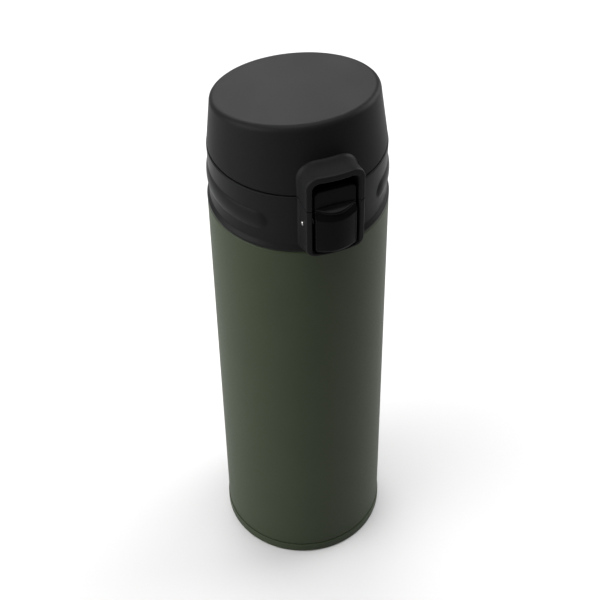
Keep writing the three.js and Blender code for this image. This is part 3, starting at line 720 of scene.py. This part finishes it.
def housing(bm, above):
    """The latch housing, cut at the seam: the hood above it, or the lower half below."""
    part = bmesh.new()
    side = 1 if above else -1
    depth = HOUSING_FRONT - WAIST
    rings = [housing_ring(0, 0, sunk=0.7)]
    rings += [housing_ring(0, k / depth) for k in (0, 0.12, 0.3, 0.55, 0.85, 1.2, 2.4, 4.2)]
    rings += [housing_ring(0, 1, behind=b) for b in (1.0, 0.6)]
    rings += [housing_ring(s, 1, behind=b) for s, b in ((0.01, 0.32), (0.05, 0.12), (0.12, 0.03), (0.2, 0))]
    rings += [housing_ring(s, 1, behind=b) for s, b in ((0.3, 0), (0.66, 0), (0.76, 0))]
    rings += [housing_ring(s, 1, behind=b) for s, b in ((0.86, 0.1), (0.95, 0.32), (1, 0.7))]
    rings += [housing_ring(1, 1, behind=b) for b in (1.1, 3)]
    rings += [housing_ring(1, 0), housing_ring(1, 0, sunk=0.7)]
    loft(part, rings, closed=True)
    cut = bmesh.ops.bisect_plane(
        part,
        geom=part.verts[:] + part.edges[:] + part.faces[:],
        plane_co=(0, -SEAM_BREAK, LID_FOOT if above else COLLAR_TOP),
        plane_no=(0, -SEAM_FALL * side, side),
        clear_inner=True,
    )["geom_cut"]
    rim = [item for item in cut if isinstance(item, bmesh.types.BMEdge)]
    faces = bmesh.ops.holes_fill(part, edges=rim, sides=0)["faces"]
    bmesh.ops.bevel(
        part,
        geom=list({e for f in faces for e in f.edges}),
        offset=0.22,
        affect="EDGES",
        segments=2,
        profile=0.5,
        material=-1,
        clamp_overlap=True,
    )
    join(bm, part)


def join(bm, part):
    """Adds a finished part to another as an island of its own."""
    mesh = bpy.data.meshes.new("part")
    bmesh.ops.recalc_face_normals(part, faces=part.faces)
    part.to_mesh(mesh)
    part.free()
    bm.from_mesh(mesh)
    bpy.data.meshes.remove(mesh)


# ---- Stopper -------------------------------------------------------------------------------------


def rib_height(angle, z):
    """How proud the grip ribs are at an angle from the latch."""
    turn = abs(angle)
    along = max(0.0, RIB_START - turn, turn - RIB_END) * WAIST
    up = z - RIB_Z
    reach = math.hypot(along, up) / RIB_HALF_HEIGHT
    return max(0.0, RIB_DEPTH * math.sqrt(max(0.0, 1 - reach**2)) - (RIB_DEPTH - RIB_PROUD))


def collar_wall():
    """The collar's outside from foot to top, in fine steps, as (radius, height, corner radius)."""
    low = COLLAR_FOOT
    high = COLLAR_TOP
    points = [(BODY_RADIUS + 0.05, low, 0.3), (BODY_RADIUS + 0.05, low + 1.2, 0.5)]
    start = low + 2.8
    steps = 52
    for i in range(steps):
        z = mix(start, high - 1.2, i / (steps - 1))
        radius = mix(WAIST, COLLAR_TOP_RADIUS, clamp((z - RIB_Z) / (high - RIB_Z)))
        radius += 0.1 * clamp(1 - (z - start) / 5)
        points.append((radius, z))
    points.append((COLLAR_TOP_RADIUS, high, 0.45))
    return points


def collar_ring():
    flange = COLLAR_TOP - COLLAR_FLANGE
    bm = turned(
        collar_wall()
        + [
            (RIM_RADIUS, COLLAR_TOP, 0.2),
            (RIM_RADIUS, COLLAR_TOP + RIM_HEIGHT, 0.4),
            (RIM_RADIUS - RIM_WALL, COLLAR_TOP + RIM_HEIGHT, 0.4),
            (RIM_RADIUS - RIM_WALL, flange, 0.2),
            (COLLAR_BORE, flange, 0.2),
            (COLLAR_BORE, COLLAR_FOOT + 0.7),
        ],
        steps=420,
    )
    bmesh.ops.remove_doubles(bm, verts=bm.verts, dist=WELD)
    for vert in bm.verts:
        radius = math.hypot(vert.co.x, vert.co.y)
        if radius < COLLAR_BORE + 0.9 or vert.co.z > COLLAR_TOP - 0.6:
            continue
        angle = math.atan2(vert.co.x, -vert.co.y)
        proud = rib_height(angle, vert.co.z)
        vert.co.x *= 1 + proud / radius
        vert.co.y *= 1 + proud / radius
    for vert in bm.verts:
        if abs(vert.co.x) < WINDOW_HALF + 0.2 and vert.co.y < -POCKET and vert.co.z > WINDOW_FOOT - 0.4:
            vert.co.y = -POCKET
    return bm


def knuckles(bm, inner_end, web):
    """A hinge's two knuckles on one side of the joint, each with its web."""
    for side in (-1, 1):
        x0, x1 = sorted((side * inner_end, side * (inner_end + KNUCKLE_LENGTH)))
        edge = 0.35
        bore = 1.1
        ends = [(x0, bore), (x0, KNUCKLE_RADIUS, edge), (x1, KNUCKLE_RADIUS, edge), (x1, bore)]
        rod_x(bm, ends, HINGE.y, HINGE.z, steps=48)
        prism_x(bm, web, x0 + 0.02, x1 - 0.02, 0.35)


def collar_piece():
    bm = collar_ring()
    housing(bm, above=False)
    web = [
        (COLLAR_BORE + 0.4, HINGE.z - 9),
        (HINGE.y - 2.4, HINGE.z - 4.6),
        (HINGE.y - 0.6, HINGE.z - KNUCKLE_RADIUS + 0.3),
        (HINGE.y - 1.4, COLLAR_TOP - 0.1),
        (COLLAR_BORE + 0.4, COLLAR_TOP - 0.1),
    ]
    knuckles(bm, SPRING_HALF, web)
    return piece(bm, "collar_ring", "collar", "stopper", COLLAR_BLACK)


def stopper_deck():
    bore = NECK_RADIUS + 1.5
    outside = bore + 2.1
    deck_top = SLEEVE[1].z
    deck_foot = deck_top - 2.2
    lip = PLUG_RADIUS
    lip_foot = VESSEL[1].z - 4.5
    hole = 16
    bm = turned(
        [
            (bore, SLEEVE[0].z, 0.4),
            (outside, SLEEVE[0].z, 0.4),
            (outside, deck_foot, 0.3),
            (SLEEVE[1].x, deck_foot, 0.3),
            (SLEEVE[1].x, deck_top, 0.4),
            (hole, deck_top, 0.3),
            (hole, deck_foot, 0.2),
            (lip - 1.8, deck_foot, 0.2),
            (lip - 1.8, lip_foot, 0.6),
            (lip, lip_foot, 0.6),
            (lip, deck_foot, 0.3),
            (bore, deck_foot, 0.3),
        ]
    )
    section = [(bore + x, 0, z) for x, z in circle(THREAD_RADIUS, 12)]
    section = [(-x, 0, THREAD_START + z) for x, _, z in section]
    helix(bm, section, (0, 0, 0), (0, 0, 1), THREAD_TURNS, THREAD_TURNS * THREAD_PITCH, 120)
    return piece(bm, "stopper_deck", "thread_sleeve", "stopper", CHARCOAL)


def washer(name, node, body, inner, edge):
    """A soft ring with round edges, as tall and as wide as its frame node."""
    low, high = span(node)
    bm = turned(
        [
            (inner, low.z, edge),
            (high.x, low.z, edge),
            (high.x, high.z, edge),
            (inner, high.z, edge),
        ]
    )
    return piece(bm, name, node, body, SILICONE)


def drinking_spout():
    radius = SPOUT_RADIUS
    bore = radius - 1.6
    flange = SPOUT[1].x
    flange_foot = SLEEVE[1].z + SEAT
    flange_top = flange_foot + 1.4
    bm = turned(
        [
            (bore, SPOUT[0].z, 0.3),
            (radius, SPOUT[0].z, 0.4),
            (radius, flange_foot, 0.2),
            (flange, flange_foot, 0.2),
            (flange, flange_top, 0.4),
            (radius + 0.55, flange_top, 1.2),
            (radius, SPOUT[1].z, 0.7),
            (bore, SPOUT[1].z, 0.7),
        ]
    )
    return piece(bm, "drinking_spout", "spout", "stopper", CHARCOAL)


# ---- Lid -----------------------------------------------------------------------------------------


def lid_top():
    top = LID_FOOT + LID_HEIGHT
    inner = LID_RADIUS - LID_WALL
    bm = turned(
        [
            (LID_RADIUS, LID_FOOT, 0.5),
            (LID_RADIUS - LID_DRAFT, top, LID_TOP_EDGE),
            (0, top),
            (0, top - LID_WALL),
            (inner - LID_DRAFT, top - LID_WALL, 1.0),
            (inner, LID_FOOT, 0.3),
        ],
        steps=240,
    )
    for vert in bm.verts:
        share = clamp((vert.co.z - LID_FOOT) / LID_HEIGHT)
        across = vert.co.y
        vert.co.y += LID_SETBACK * share
        vert.co.z -= LID_SLOPE * across * share
    housing(bm, above=True)
    front_block(bm, 3.5, POCKET - 0.5, LID_RADIUS + 0.5, LID_FOOT + 0.5, LID_FOOT + 2, 0.25)
    web = [
        (LID_RADIUS - 1.6, LID_FOOT + 0.1),
        (HINGE.y - 0.6, LID_FOOT + 0.1),
        (HINGE.y + KNUCKLE_RADIUS * 0.5, HINGE.z + KNUCKLE_RADIUS * 0.6),
        (HINGE.y - 0.2, HINGE.z + KNUCKLE_RADIUS + 0.2),
        (LID_RADIUS - 1.6, LID_FOOT + 5.5),
    ]
    knuckles(bm, SPRING_HALF + KNUCKLE_LENGTH + SEAT, web)
    return piece(bm, "lid_top", "lid_shell", "lid", LID_BLACK)


def lid_inside():
    radius = LINER[1].x - 1.9
    wall = 1.2
    ceiling = LINER[1].z - wall
    foot = LINER[0].z
    bm = turned(
        [
            (0, ceiling),
            (radius - wall, ceiling, 1.4),
            (radius - wall, foot, 0.4),
            (LINER[1].x, foot, 0.3),
            (LINER[1].x, foot + wall, 0.3),
            (radius, foot + wall, 0.5),
            (radius - 0.4, ceiling + wall, 1.6),
            (0, ceiling + wall),
        ],
        axis_ends=True,
    )
    piece(bm, "lid_inside", "lid_liner", "lid", CHARCOAL)
    bulge = 0.9
    bulge_radius = 9.5
    foot = LID_SEAL[0].z
    bm = turned(
        [
            (0, foot),
            (bulge_radius - 1.2, foot, 0.5),
            (bulge_radius, foot + bulge, 0.5),
            (LID_SEAL[1].x, foot + bulge, 0.5),
            (LID_SEAL[1].x, LID_SEAL[1].z, 0.4),
            (0, LID_SEAL[1].z),
        ],
        axis_ends=True,
    )
    piece(bm, "spout_stopper", "lid_seal", "lid", SILICONE)
    inner = LID_SEAL[1].x + SEAT
    bm = turned(
        [
            (inner, HOLDER[0].z, 0.3),
            (HOLDER[1].x, HOLDER[0].z, 0.5),
            (HOLDER[1].x, HOLDER[1].z, 0.2),
            (inner, HOLDER[1].z, 0.2),
        ]
    )
    piece(bm, "holder_ring", "seal_holder", "lid", CHARCOAL)


# ---- Hinge and its spring ------------------------------------------------------------------------


def hinge_parts():
    end = centre("hinge_pin").x + span("hinge_pin")[1].x
    bm = bmesh.new()
    rod_x(bm, [(-end, 0), (-end, 1, 0.3), (end, 1, 0.3), (end, 0)], HINGE.y, HINGE.z)
    piece(bm, "lid_hinge_pin", "hinge_pin", "stopper", WIRE)

    coil_radius = 2
    wire_radius = 0.3
    half = SPRING_HALF - SEAT - wire_radius
    leg = 3
    turns = 5.5
    bm = bmesh.new()
    section = [(-half + x, HINGE.y - coil_radius + y, HINGE.z) for x, y in circle(wire_radius, 10)]
    helix(bm, section, (0, HINGE.y, HINGE.z), (1, 0, 0), turns, 2 * half, 132)
    for x, y, toward in ((-half, HINGE.y - coil_radius, -1), (half, HINGE.y + coil_radius, 1)):
        middle = (x, y, HINGE.z + toward * (leg / 2))
        bmesh.ops.create_cone(
            bm,
            cap_ends=True,
            segments=10,
            radius1=wire_radius,
            radius2=wire_radius,
            depth=leg,
            matrix=Matrix.Translation(middle),
        )
    spring = piece(bm, "lid_spring", "hinge_spring", None, WIRE)
    y, z = HINGE.y * MM, HINGE.z * MM
    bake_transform(spring)


# ---- Latch ---------------------------------------------------------------------------------------


def bowed_plan(half, side, middle, back, corner=0.6, steps=28):
    """A closed plan of (x, distance): a bowed front with round corners, straight sides and a flat back."""
    reach = half - corner

    def front(x):
        return middle - (middle - side) * (x / half) ** 2

    across = [mix(-reach, reach, i / steps) for i in range(steps + 1)]
    points = [(x, front(x)) for x in across]
    shoulder = front(reach) - corner
    turn = [math.radians(90 - 15 * i) for i in range(1, 7)]
    right = [(reach + corner * math.cos(a), shoulder + corner * math.sin(a)) for a in turn]
    right += [(half, back + 0.6), (half - 0.2, back)]
    left = [(-x, d) for x, d in reversed(right)]
    return points + right + [(0, back)] + left


def button_piece():
    half = BUTTON[1].x
    middle = -BUTTON[0].y
    side = middle - 1.9
    back = middle - 4.7
    foot = BUTTON[0].z
    corner = 1.5
    slider_front = middle - 3
    top = LEDGE_TOP - LEDGE_THICKNESS - SEAT
    band_foot = top - 4.15
    band_lean = 0.68
    rings = []
    for step in range(7):
        angle = math.radians(15 * step)
        gone = 1 - math.sin(angle)
        z = foot + corner * (1 - math.cos(angle))
        plan = bowed_plan(half - corner * gone, side - 0.45 * gone, middle - 0.45 * gone, back)
        rings.append([(x, -d, z) for x, d in plan])
    rings.insert(0, [(x * 0.9, mix(y, -back, 0.15), z) for x, y, z in rings[0]])
    low_plan = bowed_plan(half, side, middle, back)
    high_plan = bowed_plan(half, side - 1.0, middle - 1.05, back)

    def low_height(d):
        return band_foot + band_lean * (middle - max(d, side))

    def high_height(d):
        return top - LEDGE_FALL * max(0, d - slider_front)

    for below in (8, 0.6, 0.2):
        rings.append([(x, -d, low_height(d) - below) for x, d in low_plan])
    for share in (0.03, 0.1, 0.2, 0.5, 0.85, 1):
        ring = []
        for (x, d), (_, deep) in zip(low_plan, high_plan):
            z = mix(low_height(d) - 0.05, high_height(deep), share)
            hollow = 0.12 * math.sin(math.pi * share)
            lean = clamp(share * 1.02 - 0.02 + hollow * 0.5)
            ring.append((x, -mix(d, deep, lean), z))
        rings.append(ring)
    crown = []
    for x, y, _ in rings[-1]:
        inward = mix(y, -back, 0.12)
        crown.append((x * 0.96, inward, high_height(-inward) + 0.02))
    rings.append(crown)
    bm = bmesh.new()
    loft(bm, rings)
    bore = 1.0
    barrel_half = half - 0.9
    barrel = 2.1
    arm_front = ARM_BACK + 1.5
    arm_half = half - 1.3
    arm_top = SEAM + 4.5
    profile = [
        (-barrel_half, bore),
        (-barrel_half, barrel, 0.2),
        (barrel_half, barrel, 0.2),
        (barrel_half, bore),
    ]
    rod_x(bm, profile, PIVOT.y, PIVOT.z)
    front_block(bm, barrel_half, -PIVOT.y + 1.6, back + 0.5, PIVOT.z - 1.8, PIVOT.z + 1.8)
    front_block(bm, arm_half, ARM_BACK, arm_front, PIVOT.z + 1.2, arm_top, 0.35)
    front_block(bm, arm_half, arm_front - 0.5, back + 0.5, PIVOT.z + 1.2, top - 0.5)
    front_block(bm, 3.5, ARM_BACK - 0.65, ARM_BACK + 0.3, arm_top - 2, arm_top - 0.4)
    return piece(bm, "push_button", "release_button", "button", LATCH_BLACK)


def slider_piece():
    half = SLIDER[1].x
    reach = -SLIDER[0].y
    front = reach - 2.6
    back = front - 1.8
    top = SLIDER[1].z
    foot = LEDGE_TOP - LEDGE_THICKNESS
    corner = 2

    def outline(inset, distance):
        points = rectangle(half - inset, foot + inset, top - inset, 0.3, corner - inset)
        return [(x, -distance, z) for x, z in points]

    rings = [outline(i, d) for i, d in ((0.5, back), (0.22, back), (0.06, back + 0.08), (0, back + 0.25))]
    rings += [outline(i, d) for i, d in ((0, front - 0.3), (0.07, front - 0.1), (0.25, front), (0.6, front))]
    bm = bmesh.new()
    loft(bm, rings)

    def ledge(inset, drop):
        plan = bowed_plan(half - 0.02, front - 0.1, reach - inset, front - 0.6, 0.25)
        plan = [(x, d if d > front else min(d, front)) for x, d in plan]
        return [(x, -d, LEDGE_TOP - drop - LEDGE_FALL * max(0, d - front)) for x, d in plan]

    upper = ((0.45, 0), (0.2, 0), (0.06, 0.06), (0, 0.2))
    lower = [(inset, LEDGE_THICKNESS - drop) for inset, drop in reversed(upper)]
    loft(bm, [ledge(inset, drop) for inset, drop in (*upper, *lower)])
    lip_top = SEAM + 2.5
    for side in (-1, 1):
        outer, wall, edge = side * half, side * (half - 1), side * (half - 2)
        x0, x1 = sorted((outer, wall))
        block(bm, (x0, -back - 0.3, foot), (x1, 1.3 - ARM_BACK, lip_top), 0.2)
        x0, x1 = sorted((outer, edge))
        block(bm, (x0, 0.3 - ARM_BACK, foot), (x1, 1.3 - ARM_BACK, lip_top), 0.2)
    return piece(bm, "lock_plate", "lock_slider", "slider", LATCH_BLACK)


def latch_parts():
    end = HOUSING_HALF + 0.3
    bm = bmesh.new()
    rod_x(bm, [(-end, 0), (-end, 0.85, 0.25), (end, 0.85, 0.25), (end, 0)], PIVOT.y, PIVOT.z)
    piece(bm, "latch_pivot", "latch_pin", "stopper", WIRE)

    radius = 1.9
    wire_radius = 0.25
    low, high = span("latch_spring")
    near = -high.y + wire_radius
    far = -low.y - wire_radius
    bm = bmesh.new()
    section = [(radius + x, -near + y, COIL.z) for x, y in circle(wire_radius, 10)]
    helix(bm, section, (0, 0, COIL.z), (0, -1, 0), 4.5, far - near, 108)
    spring = piece(bm, "button_spring", "latch_spring", "stopper", WIRE)
    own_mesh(spring)


painted_body()
foot_cap()
steel_vessel()
collar_piece()
stopper_deck()
washer("mouth_ring", "mouth_gasket", "mouth_seal", PLUG_RADIUS + SEAT, 0.4)
washer("spout_ring", "spout_gasket", "stopper", SPOUT_RADIUS + SEAT, 0.3)
drinking_spout()
lid_top()
lid_inside()
hinge_parts()
button_piece()
slider_piece()
latch_parts()

for node_name, material in {
    "vacuum_plate": BRUSHED,
    "port_seal": GETTER,
    "heat_reflector": FOIL,
    "getter": GETTER,
    "getter_clip": BRUSHED,
}.items():
    shown = frame["nodes"][node_name]
    if not shown.material_slots:
        shown.data.materials.append(material)
    for held in shown.material_slots:
        held.material = material


# ---- Stage, light and camera ---------------------------------------------------------------------


def matte(name, colour, roughness):
    finish = Finish(name)
    mottle = finish.noise(6.0)
    paler = tuple(c * 1.01 for c in colour)
    return finish.surface(Base_Color=finish.blend(mottle, colour, paler), Roughness=roughness)


def floor():
    bm = bmesh.new()
    bmesh.ops.create_grid(bm, x_segments=1, y_segments=1, size=3)
    mesh = bpy.data.meshes.new("floor")
    bm.to_mesh(mesh)
    bm.free()
    made = bpy.data.objects.new("floor", mesh)
    bpy.context.scene.collection.objects.link(made)
    mesh.materials.append(matte("floor_white", (0.4, 0.4, 0.4), 0.8))


def lamp(name, place, aim, width, height, power, spread):
    data = bpy.data.lights.new(name, "AREA")
    data.shape = "RECTANGLE"
    data.size = width
    data.size_y = height
    data.energy = power
    data.spread = math.radians(spread)
    made = bpy.data.objects.new(name, data)
    made.location = place
    made.rotation_euler = (Vector(aim) - Vector(place)).to_track_quat("-Z", "Y").to_euler()
    bpy.context.scene.collection.objects.link(made)


def camera():
    target = Vector((0, 0, 0.100))
    distance = 0.589
    elevation = math.radians(46.86)
    azimuth = math.radians(-19.65)
    pitch = math.radians(1.51)
    roll = math.radians(0.98)
    away = Vector(
        (
            math.cos(elevation) * math.sin(azimuth),
            -math.cos(elevation) * math.cos(azimuth),
            math.sin(elevation),
        )
    )
    data = bpy.data.cameras.new("camera")
    data.lens = 87.7
    data.sensor_width = 36
    data.clip_start = 0.01
    data.dof.use_dof = False
    made = bpy.data.objects.new("camera", data)
    aim = (-away).to_track_quat("-Z", "Y").to_matrix()
    turn = aim @ Matrix.Rotation(pitch, 3, "X") @ Matrix.Rotation(-roll, 3, "Z")
    made.matrix_world = Matrix.Translation(target + away * distance) @ turn.to_4x4()
    bpy.context.scene.collection.objects.link(made)
    bpy.context.scene.camera = made


def world():
    made = bpy.data.worlds.new("studio")
    made.use_nodes = True
    back = made.node_tree.nodes["Background"]
    back.inputs["Color"].default_value = (1, 1, 1, 1)
    back.inputs["Strength"].default_value = 0.12
    bpy.context.scene.world = made


floor()
lamp("left_box", (-0.9, 0.05, 0.42), (0, 0.05, 0.18), 1.2, 0.8, 6.0, 80)
lamp("right_box", (0.9, 0.25, 0.42), (0, 0.1, 0.18), 1.0, 0.8, 4.8, 80)
lamp("back_box", (0.15, 1.5, 0.8), (0, 0, 0.15), 1.6, 0.8, 7.5, 90)
lamp("top_box", (0, 0.1, 1.5), (0, 0.1, 0), 1.3, 1.3, 38, 180)
world()
camera()
bpy.context.scene.view_settings.view_transform = "Standard"
